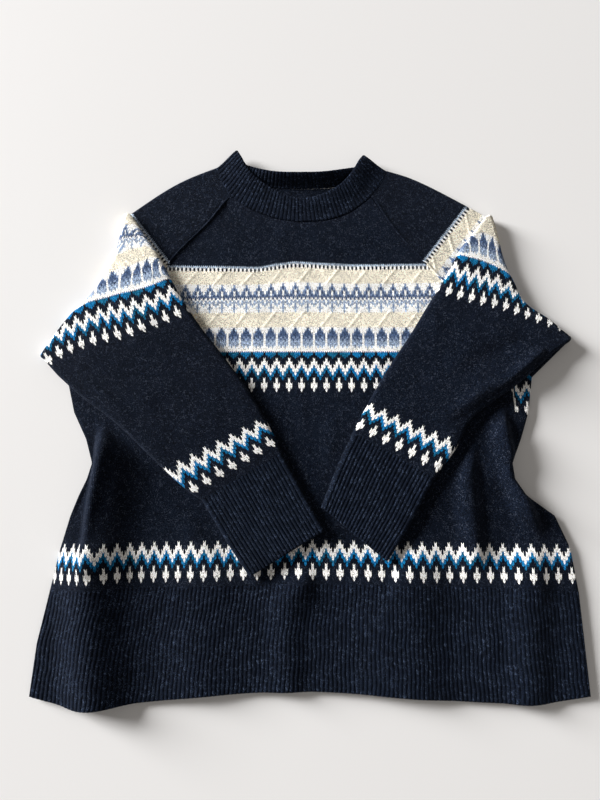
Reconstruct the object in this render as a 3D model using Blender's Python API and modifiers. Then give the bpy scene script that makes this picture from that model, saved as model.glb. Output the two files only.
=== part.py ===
"""Knitted raglan pullover laid flat, face up, with both sleeves folded over its front.

Nine pieces of cloth: two body panels, their two hem ribs, two sleeves, two cuffs and a neckband.
X runs across the garment, Y from hem to neck, and Z is up from the surface it lies on.
"""

import math

import bpy
import numpy as np

# Cloth, in metres
WALL = 0.003  # thickness of the knit
GAP = 0.0003  # between layers, and between pieces that meet at a seam
BACK_Z = WALL / 2  # middle of the layer that lies on the surface
FRONT_Z = BACK_Z + WALL + GAP  # middle of the layer on top of it
LAYERS_TOP = 2 * WALL + GAP  # top of the two layers where they are pressed flat
SLEEVE_HALF = WALL + GAP / 2  # half the height of a sleeve where it is pressed flat
TURN = SLEEVE_HALF + 0.0003  # radius at which a sleeve's middle turns over

# Plan tables, in centimetres
CM = 0.01
ORIGIN = (0.72, -1.46)  # plan point that becomes the frame's origin

SIDES = (  # body outline from underarm to hem: y, left x, right x
    (2.5, -26.6, 26.5),
    (-1.5, -25.6, 25.9),
    (-4.5, -24.1, 24.9),
    (-7.2, -23.3, 23.8),
    (-9.0, -23.8, 24.0),
    (-10.8, -24.6, 25.2),
    (-13.0, -25.4, 28.2),
    (-16.5, -26.3, 29.7),
    (-21.0, -27.2, 30.3),
    (-26.5, -28.3, 30.6),
    (-32.0, -28.8, 30.9),
)
RAGLAN = (  # front raglan seam from neck to underarm: y, left x, right x
    (24.2, -8.3, 8.5),
    (21.1, -10.7, 10.5),
    (18.1, -13.5, 12.7),
    (16.0, -15.3, 14.7),
    (2.5, -26.6, 26.5),
)
BACK_RAGLAN = (  # back raglan seam from neck to underarm: y, left x, right x
    (26.7, -7.8, 8.0),
    (16.0, -16.0, 16.0),
    (2.5, -26.6, 26.5),
)
HEM_EDGE = (  # bottom edge: x, y
    (-28.8, -31.9),
    (-25.5, -32.7),
    (-22.5, -33.0),
    (-16.0, -32.4),
    (-8.5, -31.7),
    (1.0, -31.4),
    (10.5, -31.9),
    (18.0, -32.4),
    (25.0, -32.6),
    (30.9, -31.9),
)
HEM_SEAM = (  # where the rib starts: x, y
    (-27.2, -20.9),
    (-15.0, -20.6),
    (1.0, -20.3),
    (18.5, -20.6),
    (30.3, -21.1),
)
NECKBAND = (  # once round, front left to right and back: seam x, y, z; free edge x, y, z
    (-9.5, 26.3, 0.48, -6.9, 29.0, 1.24),
    (-8.3, 24.4, 0.48, -6.0, 27.4, 1.12),
    (-5.9, 22.8, 0.48, -4.4, 26.0, 0.98),
    (-3.5, 21.8, 0.48, -2.7, 24.9, 0.88),
    (-1.2, 21.3, 0.48, -1.0, 24.2, 0.84),
    (1.2, 21.2, 0.48, 0.9, 24.1, 0.84),
    (3.8, 21.5, 0.48, 2.9, 24.7, 0.88),
    (6.2, 22.5, 0.48, 4.8, 25.8, 0.98),
    (8.5, 24.3, 0.48, 6.1, 27.2, 1.12),
    (9.9, 26.2, 0.48, 7.0, 28.7, 1.24),
    (8.0, 26.6, 0.15, 6.5, 28.0, 0.78),
    (5.5, 25.9, 0.15, 4.6, 27.5, 1.20),
    (3.0, 25.6, 0.15, 2.6, 27.1, 1.48),
    (0.0, 25.5, 0.15, 0.0, 27.0, 1.55),
    (-3.0, 25.6, 0.15, -2.7, 27.1, 1.48),
    (-5.5, 26.0, 0.15, -4.8, 27.6, 1.20),
    (-7.8, 26.9, 0.15, -6.4, 28.3, 0.78),
)
NECK_FRONT = 10  # rows of NECKBAND that are its front
NECK_SIDES = (  # the two side folds of the neckband: seam x, y; free edge x, y
    (10.6, 27.6, 7.6, 29.5),
    (-10.2, 28.0, -7.6, 30.1),
)

# Each sleeve, in centimetres. "inner" is the edge that ends up nearest the other sleeve.
LEFT = {
    "neck": ((-10.2, 28.0), (-9.4, 26.2), (-8.35, 24.3)),
    "back_neck": ((-10.2, 28.0), (-9.0, 27.3), (-7.9, 26.8)),
    "shoulder": ((-10.2, 28.0), (-13.4, 26.8), (-16.4, 25.2), (-20.8, 22.2)),
    "turn": ((-20.9, 22.2), (-21.4, 18.4), (-22.3, 15.6), (-24.2, 12.4), (-26.5, 9.9), (-28.5, 7.1),
             (-29.8, 4.9)),
    "folded": (  # inner x, y; outer x, y; half height
        (-16.6, 17.2, -27.4, 2.6, 0.42),
        (-14.2, 12.6, -24.4, 0.0, 0.46),
        (-11.6, 8.6, -21.0, -2.5, 0.46),
        (-8.8, 5.0, -17.8, -5.4, 0.45),
        (-6.0, 1.2, -14.8, -8.2, 0.44),
        (-3.5, -3.0, -12.5, -10.2, 0.42),
        (-1.95, -6.05, -10.85, -11.25, 0.40),
    ),
    "cuff": (
        (-1.86, -6.2, -10.75, -11.45, 0.40),
        (-0.4, -8.8, -9.2, -13.9, 0.40),
        (0.9, -11.2, -7.7, -16.3, 0.40),
        (2.8, -14.5, -5.5, -19.5, 0.39),
    ),
}
RIGHT = {
    "neck": ((10.6, 27.6), (9.8, 26.1), (8.55, 24.3)),
    "back_neck": ((10.6, 27.6), (9.2, 27.0), (8.1, 26.6)),
    "shoulder": ((10.6, 27.6), (13.4, 26.8), (17.0, 25.1), (22.7, 22.0)),
    "turn": ((22.8, 22.0), (23.4, 19.0), (23.9, 16.4), (24.9, 13.8), (26.2, 11.2), (28.9, 9.2),
             (31.2, 7.0)),
    "folded": (
        (18.8, 17.8, 28.8, 5.2, 0.42),
        (16.6, 13.8, 26.4, 3.1, 0.46),
        (14.7, 10.8, 23.9, 1.1, 0.47),
        (12.6, 7.4, 21.3, -0.6, 0.47),
        (10.5, 4.3, 19.0, -2.6, 0.46),
        (8.2, 0.5, 17.4, -5.6, 0.43),
        (5.9, -3.8, 14.9, -8.9, 0.40),
    ),
    "cuff": (
        (5.86, -3.88, 14.86, -8.98, 0.40),
        (4.6, -6.4, 13.4, -11.5, 0.40),
        (3.4, -9.2, 11.8, -14.4, 0.40),
        (2.3, -12.0, 9.5, -17.9, 0.39),
    ),
}

# Lower outline of the two folded sleeves. The front is pressed flat behind it.
PRESSED = (  # x, y
    (-29.5, 4.3), (-26.2, 1.3), (-22.6, -1.1), (-17.8, -5.5), (-11.5, -11.3), (-9.0, -14.4),
    (-5.4, -19.7), (-1.0, -17.2), (3.0, -15.0), (7.2, -17.0), (9.5, -18.4), (14.9, -9.4),
    (17.8, -5.8), (20.7, -0.9), (26.3, 2.8), (31.0, 6.5),
)
# Soft folds of the front. Its crest runs through three points from "top" to "low" in y.
FOLDS = (  # y top, y low, x top, x middle, x low, width left, width right, height
    (3.0, -20.0, -20.9, -22.2, -23.3, 1.4, 6.2, 1.30),
    (-15.0, -42.0, -23.4, -22.4, -20.5, 4.5, 5.0, 1.15),
    (-9.0, -40.0, -11.5, -11.0, -10.5, 5.0, 6.0, 0.30),
    (2.0, -24.0, 0.0, 0.0, 0.2, 3.5, 2.2, 0.50),
    (-18.0, -40.0, -1.6, -1.4, -1.2, 3.0, 2.6, 0.30),
    (-14.0, -40.0, 11.5, 12.0, 13.0, 8.0, 5.0, 0.45),
    (0.0, -20.0, 18.2, 18.6, 19.3, 2.2, 1.8, 0.65),
    (6.0, -16.0, 22.6, 23.0, 26.6, 2.4, 1.2, 1.00),
    (-14.0, -40.0, 25.0, 24.5, 24.0, 3.0, 3.5, 0.45),
)
FADE = 4.0  # length over which a fold rises from each of its ends
PRESS_FROM, PRESS_OVER = 4.4, 3.8  # folds flatten this far below the sleeves, over this length
SIDE_WIDTH = 0.8  # strip along the body's sides over which its folds rise
SIDE_INSET = 0.02  # gap between a panel and a sleeve at their seam, on the panel's side
SEAM_INSET = 0.03  # gap between a panel and its hem rib or neckband, on each side

# Side folds of the neckband, in centimetres: height of the middle and radius, at its two edges
NECK_TURN = ((0.315, 0.165), (1.0, 0.2))
NECK_TURN_ANGLE = 60  # degrees from the middle of a side fold to where it meets front and back
NECK_LEVELS = (0.03, 0.12, 0.4)  # first rows of the neckband, as shares of the way to its free edge
NECK_FLAT = 0.1  # share of the neckband, from its seam, that lies flat

END_ANGLES = (45, 90, 135)  # degrees at which the round end of a flattened tube has points
ROOT_START = 0.012  # share of the way from raglan seam to turn at which a sleeve starts
TURN_ANGLE = 60  # degrees either side of level at which a sleeve's turn has its first and last ring
SHOULDER_POINTS = 100

MATERIALS = {  # colour, roughness
    "back_panel": ((0.018, 0.024, 0.042), 0.95),
    "front_panel": ((0.020, 0.027, 0.048), 0.95),
    "back_hem_rib": ((0.014, 0.019, 0.034), 0.95),
    "front_hem_rib": ((0.016, 0.022, 0.038), 0.95),
    "left_sleeve": ((0.020, 0.027, 0.048), 0.95),
    "right_sleeve": ((0.020, 0.027, 0.048), 0.95),
    "left_cuff": ((0.016, 0.022, 0.038), 0.95),
    "right_cuff": ((0.016, 0.022, 0.038), 0.95),
    "neckband": ((0.016, 0.022, 0.038), 0.95),
}


def smooth_along(points, count):
    """count points along a smooth curve through the given ones, evenly by length."""
    points = np.asarray(points, float)
    fine = []
    for i in range(len(points) - 1):
        before = points[max(i - 1, 0)]
        after = points[min(i + 2, len(points) - 1)]
        a, b = points[i], points[i + 1]
        for t in np.linspace(0, 1, 16, endpoint=False):
            bend = t * (1 - t) * ((1 - t) * (b - before) - t * (after - a)) / 2
            blend = t * t * (3 - 2 * t)
            straight = a + (b - a) * blend
            fine.append(straight + bend)
    fine.append(points[-1])
    return evenly(fine, count)


def evenly(points, count):
    """count points along a line of straight pieces, evenly by length."""
    points = np.asarray(points, float)
    steps = np.linalg.norm(np.diff(points, axis=0), axis=1)
    length = np.concatenate(([0], np.cumsum(steps)))
    at = np.linspace(0, length[-1], count)
    return np.stack([np.interp(at, length, column) for column in points.T], axis=1)


def column(table, index):
    """Plan points from a table whose rows hold y, left x and right x."""
    return [(row[index], row[0]) for row in table]


def patch(bottom, top, left, right):
    """A grid of plan points between four edges. left and right run from bottom to top."""
    across = np.linspace(0, 1, len(bottom))[None, :, None]
    up = np.linspace(0, 1, len(left))[:, None, None]
    corners = (
        (1 - across) * (1 - up) * bottom[0]
        + across * (1 - up) * bottom[-1]
        + (1 - across) * up * top[0]
        + across * up * top[-1]
    )
    rows = (1 - up) * bottom[None] + up * top[None]
    columns = (1 - across) * left[:, None] + across * right[:, None]
    return rows + columns - corners


def ease(value):
    value = np.clip(value, 0, 1)
    return value * value * (3 - 2 * value)


def front_rise(x, y):
    """Height of the front's soft folds above its flat lie, all in centimetres."""
    rise = np.zeros_like(x)
    for top, low, x_top, x_mid, x_low, left, right, height in FOLDS:
        t = np.clip((top - y) / (top - low), 0, 1)
        crest = x_top * (1 - t) * (1 - 2 * t) + 4 * x_mid * t * (1 - t) + x_low * t * (2 * t - 1)
        off = (x - crest) / np.where(x < crest, left, right)
        shape = np.where(np.abs(off) < 1, (1 + np.cos(np.pi * np.clip(off, -1, 1))) / 2, 0)
        rise += height * shape * ease((top - y) / FADE) * ease((y - low) / FADE)
    edge = np.interp(x, [p[0] for p in PRESSED], [p[1] for p in PRESSED])
    return rise * (1 - ease((y - edge + PRESS_FROM) / PRESS_OVER))


def side_fall(x, y):
    """0 at the body's side edges, where front and back meet, and 1 from SIDE_WIDTH inside them."""
    rows = sorted(SIDES)
    ys = [row[0] for row in rows]
    left = np.interp(y, ys, [row[1] for row in rows])
    right = np.interp(y, ys, [row[2] for row in rows])
    return ease(np.minimum(x - left, right - x) / SIDE_WIDTH)


def place(plan, z):
    """Plan points in centimetres and heights in metres as points of the frame."""
    flat = (np.asarray(plan) - ORIGIN) * CM
    return np.concatenate([flat, np.broadcast_to(np.asarray(z)[..., None], flat.shape[:-1] + (1,))], -1)


def make(name, middle, around):
    """A wall of cloth whose middle is a grid of points. around closes the grid's second way."""
    rows, cols = middle.shape[:2]
    faces = []
    for r in range(rows - 1):
        for c in range(cols if around else cols - 1):
            d = (c + 1) % cols
            faces.append((r * cols + c, r * cols + d, (r + 1) * cols + d, (r + 1) * cols + c))
    mesh = bpy.data.meshes.new(name)
    mesh.from_pydata(middle.reshape(-1, 3).tolist(), [], faces)
    mesh.shade_smooth()
    colour, roughness = MATERIALS[name]
    material = bpy.data.materials.new(name)
    material.use_nodes = True
    shader = material.node_tree.nodes["Principled BSDF"]
    shader.inputs["Base Color"].default_value = (*colour, 1)
    shader.inputs["Roughness"].default_value = roughness
    mesh.materials.append(material)
    ob = bpy.data.objects.new(name, mesh)
    bpy.data.collections["pullover"].objects.link(ob)
    wall = ob.modifiers.new("wall", "SOLIDIFY")
    wall.thickness = WALL
    wall.offset = 0
    return ob


def front_z(plan):
    x, y = plan[..., 0], plan[..., 1]
    return FRONT_Z + CM * front_rise(x, y) * side_fall(x, y)


def side_line(index, raglan, rows_side, rows_raglan):
    """One side of a panel from hem seam to neck: the body's side, then the raglan seam."""
    seam = HEM_SEAM[0][1] if index == 1 else HEM_SEAM[-1][1]
    rows = sorted(SIDES)
    ys = np.linspace(seam, SIDES[0][0], rows_side)
    side = np.stack([np.interp(ys, [r[0] for r in rows], [r[index] for r in rows]), ys], axis=1)
    sleeve = smooth_along(column(raglan[::-1], index), rows_raglan)
    line = np.concatenate([side, sleeve[1:]])
    line[:, 0] -= np.sign(line[:, 0]) * SIDE_INSET
    return line


def panels(across, rows_side, rows_raglan):
    """Front and back panels, from the hem seam to the neck."""
    seam = smooth_along(HEM_SEAM, across) + (0, SEAM_INSET)
    neck_rows = NECKBAND[:NECK_FRONT]
    front_neck = smooth_along([row[:2] for row in neck_rows[1:-1]], across)
    back_neck = smooth_along([row[:2] for row in NECKBAND[NECK_FRONT:]][::-1], across)
    for name, raglan, neck in (
        ("front_panel", RAGLAN, front_neck),
        ("back_panel", BACK_RAGLAN, back_neck),
    ):
        left = side_line(1, raglan, rows_side, rows_raglan)
        right = side_line(2, raglan, rows_side, rows_raglan)
        bottom = seam.copy()
        bottom[0], bottom[-1] = left[0], right[0]
        top = neck - (0, SEAM_INSET)
        left[-1], right[-1] = top[0], top[-1]
        plan = patch(bottom, top, left, right)
        z = front_z(plan) if name == "front_panel" else np.full(plan.shape[:2], BACK_Z)
        make(name, place(plan, z), False)


def hem_ribs(across, rows):
    """Front and back hem ribs, from the bottom edge to the hem seam."""
    sides = sorted(SIDES)
    ys = [row[0] for row in sides]
    top = smooth_along(HEM_SEAM, across) - (0, SEAM_INSET)
    bottom = smooth_along(HEM_EDGE, across)
    edges = []
    for end in (0, -1):
        line = np.linspace(bottom[end], top[end], rows)
        line[1:-1, 0] = np.interp(line[1:-1, 1], ys, [row[2 if end else 1] for row in sides])
        edges.append(line)
    plan = patch(bottom, top, edges[0], edges[1])
    make("front_hem_rib", place(plan, front_z(plan)), False)
    make("back_hem_rib", place(plan, np.full(plan.shape[:2], BACK_Z)), False)


def neckband(across, between, turn_steps):
    """The ring round the neck: its front lies flat, its back stands up, and it folds at the sides."""
    table = np.array(NECKBAND)
    front, back = table[:NECK_FRONT], table[NECK_FRONT:]
    ring = []
    for rows, side in ((front, NECK_SIDES[0]), (back, NECK_SIDES[1])):
        ring += list(smooth_along(rows, between))
        seam, free = np.array(side[:2]), np.array(side[2:])
        fold = (free - seam) / np.linalg.norm(free - seam)
        out = np.array((-fold[1], fold[0]))
        out = out * np.sign(out[1])
        turn = np.linspace(1, -1, turn_steps) * math.radians(NECK_TURN_ANGLE)
        for angle in turn if side is NECK_SIDES[0] else turn[::-1]:
            row = []
            for point, (z, radius) in zip((seam, free), NECK_TURN):
                centre = point - out * (radius + WALL / CM / 2)
                row += [*(centre + out * radius * math.cos(angle)), z + radius * math.sin(angle)]
            ring.append(row)
    ring = np.array(ring)
    rest = np.linspace(NECK_LEVELS[-1], 1, across - 2)
    t = np.concatenate((NECK_LEVELS[:-1], rest))[:, None, None]
    middle = ring[None, :, :3] * (1 - t) + ring[None, :, 3:] * t
    lift = ease((t[..., 0] - NECK_FLAT) / (1 - NECK_FLAT))
    middle[..., 2] = ring[None, :, 2] * (1 - lift) + ring[None, :, 5] * lift
    make("neckband", place(middle[..., :2], middle[..., 2] * CM), True)


def ring_points(front, back, normal, half, ends):
    """Points in the wall's middle round a flattened tube: front, one rounded end, back, the other.

    front and back are points in the tube's middle, normal points to the front at each of them,
    half is half the tube's height, and ends holds the outward direction at each end.
    """
    reach = half - WALL / 2
    points = [f + n * reach for f, n in zip(front, normal)]
    for angle in END_ANGLES:
        c, s = math.cos(math.radians(angle)), math.sin(math.radians(angle))
        points.append(front[-1] + (normal[-1] * c + ends[1] * s) * reach)
    points += [b - n * reach for b, n in zip(back[::-1], normal[::-1])]
    for angle in END_ANGLES[::-1]:
        c, s = math.cos(math.radians(angle)), math.sin(math.radians(angle))
        points.append(front[0] + (normal[0] * c + ends[0] * s) * reach)
    return points


def unit(vector):
    return vector / np.linalg.norm(vector)


def tube(name, stations):
    """A flattened tube, open at both ends, through stations of (front, back, normal, half)."""
    rings = []
    for i, (front, back, normal, half) in enumerate(stations):
        before = stations[max(i - 1, 0)][0]
        after = stations[min(i + 1, len(stations) - 1)][0]
        ends = []
        for end, mate in ((0, -1), (-1, 0)):
            along = after[end] - before[end]
            out = unit(np.cross(normal[end], along))
            away = front[end] - front[mate]
            ends.append(out * np.sign(np.dot(out, away)))
        rings.append(ring_points(front, back, normal, half, ends))
    make(name, np.array(rings), True)


def flat_stations(rows, count, steps):
    """Stations of the part of a sleeve or cuff that lies on the front."""
    stations = []
    for x0, y0, x1, y1, half in smooth_along(rows, steps):
        a, b = np.array((x0, y0)), np.array((x1, y1))
        toward = unit(b - a)
        line = np.linspace(a + toward * half, b - toward * half, count)
        z = LAYERS_TOP + GAP * 2 + half * CM
        middle = place(line, np.full(count, z))
        normal = np.tile((0.0, 0.0, -1.0), (count, 1))
        stations.append((middle, middle, normal, half * CM))
    return stations


def sleeve(name, side, index, count, neck_count, root_steps, turn_steps, folded_steps):
    """A sleeve from its raglan seam out to where it turns over, then back across the front."""
    up = np.array((0.0, 0.0, 1.0))
    outline = smooth_along(side["turn"], count)
    along = np.gradient(outline, axis=0)
    out = np.stack([along[:, 1], -along[:, 0]], axis=1)
    out /= np.linalg.norm(out, axis=1, keepdims=True)
    out *= np.sign(out[count // 2, 0]) * np.sign(outline[0, 0])
    axis = outline - out * (TURN + SLEEVE_HALF) / CM
    inset = SLEEVE_HALF / CM
    pull = np.zeros((count, 2))
    pull[0] = (0, -inset)
    pull[-1] = unit(axis[0] - axis[-1]) * inset
    axis = axis + pull
    seams = []
    for neck, raglan in ((side["neck"], RAGLAN), (side["back_neck"], BACK_RAGLAN)):
        by_neck = smooth_along(neck, neck_count)
        by_body = smooth_along([neck[-1]] + column(raglan, index)[1:], count - neck_count + 1)
        points = np.concatenate([by_neck, by_body[1:]])
        points[0] += (0, -inset)
        points[-1] += unit(points[0] - points[-1]) * inset
        seams.append(points)
    steps = np.linspace(ROOT_START, 1, root_steps)
    shoulder = smooth_along(side["shoulder"], SHOULDER_POINTS)
    straight = shoulder[0] + (shoulder[-1] - shoulder[0]) * np.linspace(0, 1, SHOULDER_POINTS)[:, None]
    near_top = np.linspace(1, 0, count)[:, None] ** 2
    stations = []
    for t in steps:
        arch = (shoulder - straight)[int(t * (SHOULDER_POINTS - 1))] * near_top
        layers = [place(s * (1 - t) + axis * t + arch, np.full(count, SLEEVE_HALF)) for s in seams]
        stations.append((layers[0], layers[1], np.tile(up, (count, 1)), SLEEVE_HALF))
    z_axis = SLEEVE_HALF + TURN
    out3 = np.concatenate([out, np.zeros((count, 1))], axis=1)
    base = place(axis, np.full(count, z_axis))
    for angle in np.linspace(-TURN_ANGLE, TURN_ANGLE, turn_steps):
        c, s = math.cos(math.radians(angle)), math.sin(math.radians(angle))
        arm = out3 * c + up * s
        stations.append((base + arm * TURN, base + arm * TURN, -arm, SLEEVE_HALF))
    over = base + up * TURN
    stations.append((over, over, np.tile(-up, (count, 1)), SLEEVE_HALF))
    stations += flat_stations(side["folded"], count, folded_steps)
    tube(name, stations)


def main():
    for ob in list(bpy.data.objects):
        bpy.data.objects.remove(ob, do_unlink=True)
    bpy.context.scene.collection.children.link(bpy.data.collections.new("pullover"))
    panels(across=33, rows_side=18, rows_raglan=12)
    hem_ribs(across=33, rows=7)
    neckband(across=5, between=20, turn_steps=4)
    for name, side, index in (("left", LEFT, 1), ("right", RIGHT, 2)):
        sleeve(
            name + "_sleeve",
            side,
            index,
            count=12,
            neck_count=3,
            root_steps=4,
            turn_steps=3,
            folded_steps=12,
        )
        tube(name + "_cuff", flat_stations(side["cuff"], count=10, steps=5))


main()
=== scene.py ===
"""Looks of a fair isle raglan pullover that lies flat, face up, with its sleeves folded over its front.

Every piece is a closed wall of knitted cloth on the form of its CAD solid. Plan tables are in
centimetres, from the same plan as the solids, and everything else is in metres.
"""
import math

import bpy
import numpy as np
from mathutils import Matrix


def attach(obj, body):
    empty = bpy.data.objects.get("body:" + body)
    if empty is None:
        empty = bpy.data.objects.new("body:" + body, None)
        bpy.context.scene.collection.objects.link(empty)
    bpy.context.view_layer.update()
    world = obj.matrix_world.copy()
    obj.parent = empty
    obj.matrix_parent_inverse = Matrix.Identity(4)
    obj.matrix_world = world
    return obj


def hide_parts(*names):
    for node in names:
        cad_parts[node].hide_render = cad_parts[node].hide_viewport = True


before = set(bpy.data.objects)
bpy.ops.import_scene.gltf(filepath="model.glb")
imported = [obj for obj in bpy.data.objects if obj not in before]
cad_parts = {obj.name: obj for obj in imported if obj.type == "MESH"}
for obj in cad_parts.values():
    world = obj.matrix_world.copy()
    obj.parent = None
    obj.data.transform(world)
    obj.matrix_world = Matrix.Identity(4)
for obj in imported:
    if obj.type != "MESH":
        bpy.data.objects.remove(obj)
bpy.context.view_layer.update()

# Cloth and layers, in metres
WALL = 0.003  # thickness of a CAD wall
CLOTH = 0.0026  # thickness of the knit, inside that wall
GAP = 0.0003
BACK_Z = WALL / 2
FRONT_Z = BACK_Z + WALL + GAP
LAYERS_TOP = 2 * WALL + GAP
SLEEVE_HALF = WALL + GAP / 2
TURN = SLEEVE_HALF + 0.0003  # radius at which a sleeve's middle turns over
ROUNDING = (0, 0.0003, 0.0008, 0.0015, 0.0024)  # distances from an edge that shape its round
EDGE_SHARE = 0.12  # share of the knit's thickness that is left at a rounded edge
SHARP_ANGLE = 65  # degrees between faces from which an edge is shaded sharp
PANEL_WIDTH, SIDE_LENGTH, RAGLAN_LENGTH = 0.55, 0.234, 0.24  # they set how many points a panel has
HEM_DEPTH, CUFF_DEPTH, NECKBAND_DEPTH = 0.116, 0.1, 0.033

# Plan tables, in centimetres
CM = 0.01
ORIGIN = (0.72, -1.46)
SIDES = (  # body outline from underarm to hem: y, left x, right x
    (2.5, -26.6, 26.5), (-1.5, -25.6, 25.9), (-4.5, -24.1, 24.9), (-7.2, -23.3, 23.8),
    (-9.0, -23.8, 24.0), (-10.8, -24.6, 25.2), (-13.0, -25.4, 28.2), (-16.5, -26.3, 29.7),
    (-21.0, -27.2, 30.3), (-26.5, -28.3, 30.6), (-32.0, -28.8, 30.9),
)
RAGLAN = (  # front raglan seam from neck to underarm: y, left x, right x
    (24.2, -8.3, 8.5), (21.1, -10.7, 10.5), (18.1, -13.5, 12.7), (16.0, -15.3, 14.7),
    (2.5, -26.6, 26.5),
)
BACK_RAGLAN = (  # back raglan seam from neck to underarm: y, left x, right x
    (26.7, -7.8, 8.0), (16.0, -16.0, 16.0), (2.5, -26.6, 26.5),
)
HEM_EDGE = (  # bottom edge: x, y
    (-28.8, -31.9), (-25.5, -32.7), (-22.5, -33.0), (-16.0, -32.4), (-8.5, -31.7), (1.0, -31.4),
    (10.5, -31.9), (18.0, -32.4), (25.0, -32.6), (30.9, -31.9),
)
HEM_SEAM = (  # where the rib starts: x, y
    (-27.2, -20.9), (-15.0, -20.6), (1.0, -20.3), (18.5, -20.6), (30.3, -21.1),
)
NECKBAND = (  # once round, front left to right and back: seam x, y, z; free edge x, y, z
    (-9.5, 26.3, 0.48, -6.9, 29.0, 1.24), (-8.3, 24.4, 0.48, -6.0, 27.4, 1.12),
    (-5.9, 22.8, 0.48, -4.4, 26.0, 0.98), (-3.5, 21.8, 0.48, -2.7, 24.9, 0.88),
    (-1.2, 21.3, 0.48, -1.0, 24.2, 0.84), (1.2, 21.2, 0.48, 0.9, 24.1, 0.84),
    (3.8, 21.5, 0.48, 2.9, 24.7, 0.88), (6.2, 22.5, 0.48, 4.8, 25.8, 0.98),
    (8.5, 24.3, 0.48, 6.1, 27.2, 1.12), (9.9, 26.2, 0.48, 7.0, 28.7, 1.24),
    (8.0, 26.6, 0.15, 6.5, 28.0, 0.78), (5.5, 25.9, 0.15, 4.6, 27.5, 1.20),
    (3.0, 25.6, 0.15, 2.6, 27.1, 1.48), (0.0, 25.5, 0.15, 0.0, 27.0, 1.55),
    (-3.0, 25.6, 0.15, -2.7, 27.1, 1.48), (-5.5, 26.0, 0.15, -4.8, 27.6, 1.20),
    (-7.8, 26.9, 0.15, -6.4, 28.3, 0.78),
)
NECK_FRONT = 10  # rows of NECKBAND that are its front
NECK_SIDES = (  # the two side folds of the neckband: seam x, y; free edge x, y
    (10.6, 27.6, 7.6, 29.5), (-10.2, 28.0, -7.6, 30.1),
)

# Each sleeve. Its seam rises this many metres. "inner" is the edge that ends up nearest the other
# sleeve. Its charted rows lie along lines in plan: row, wale at the line's first point, wales a
# centimetre, points x, y.
LEFT = {
    "seam_rise": 0.0023,
    "neck": ((-10.2, 28.0), (-9.4, 26.2), (-8.35, 24.3)),
    "back_neck": ((-10.2, 28.0), (-9.0, 27.3), (-7.9, 26.8)),
    "shoulder": ((-10.2, 28.0), (-13.4, 26.8), (-16.4, 25.2), (-20.8, 22.2)),
    "turn": ((-20.9, 22.2), (-21.4, 18.4), (-22.3, 15.6), (-24.2, 12.4), (-26.5, 9.9), (-28.5, 7.1),
             (-29.8, 4.9)),
    "folded": (  # inner x, y; outer x, y; half height
        (-16.6, 17.2, -27.4, 2.6, 0.42), (-14.2, 12.6, -24.4, 0.0, 0.46),
        (-11.6, 8.6, -21.0, -2.5, 0.46), (-8.8, 5.0, -17.8, -5.4, 0.45),
        (-6.0, 1.2, -14.8, -8.2, 0.44), (-3.5, -3.0, -12.5, -10.2, 0.42),
        (-1.95, -6.05, -10.85, -11.25, 0.40),
    ),
    "cuff": (
        (-1.86, -6.2, -10.75, -11.45, 0.40), (-0.4, -8.8, -9.2, -13.9, 0.40),
        (0.9, -11.2, -7.7, -16.3, 0.40), (2.8, -14.5, -5.5, -19.5, 0.39),
    ),
    "tick_row": ((-15.0, 15.9), (-20.4, 22.9)),
    "rows": (
        (3, 0, 4.2, ((-15.1, 16.2), (-17.2, 19.2), (-20.9, 22.6))),
        (18, 0, 4.2, ((-15.3, 16.0), (-17.0, 18.3), (-19.3, 19.8), (-22.2, 18.4))),
        (27, 0, 4.2, ((-15.4, 15.8), (-17.2, 17.4), (-19.5, 17.6), (-22.8, 16.2))),
        (35, 0, 4.2, ((-15.7, 16.2), (-17.0, 16.6), (-20.2, 15.5), (-23.6, 14.0))),
        (48, -1, 4.2, ((-15.0, 14.0), (-17.9, 12.8), (-20.5, 12.2), (-23.4, 11.6), (-26.2, 10.2))),
        (68.5, 0, 4.2, ((-13.9, 9.8), (-15.1, 9.3), (-17.7, 8.2), (-20.3, 7.4), (-23.0, 6.8), (-25.6, 6.0),
                        (-27.1, 5.4), (-28.6, 4.4))),
        (154, 12, 3.75, ((-4.8, -2.5), (-13.3, -6.9))),
        (170.5, 12, 3.73, ((-3.2, -5.0), (-11.5, -10.0))),
        (181, 12, 3.6, ((-1.7, -6.0), (-10.7, -11.2))),
    ),
}
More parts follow.
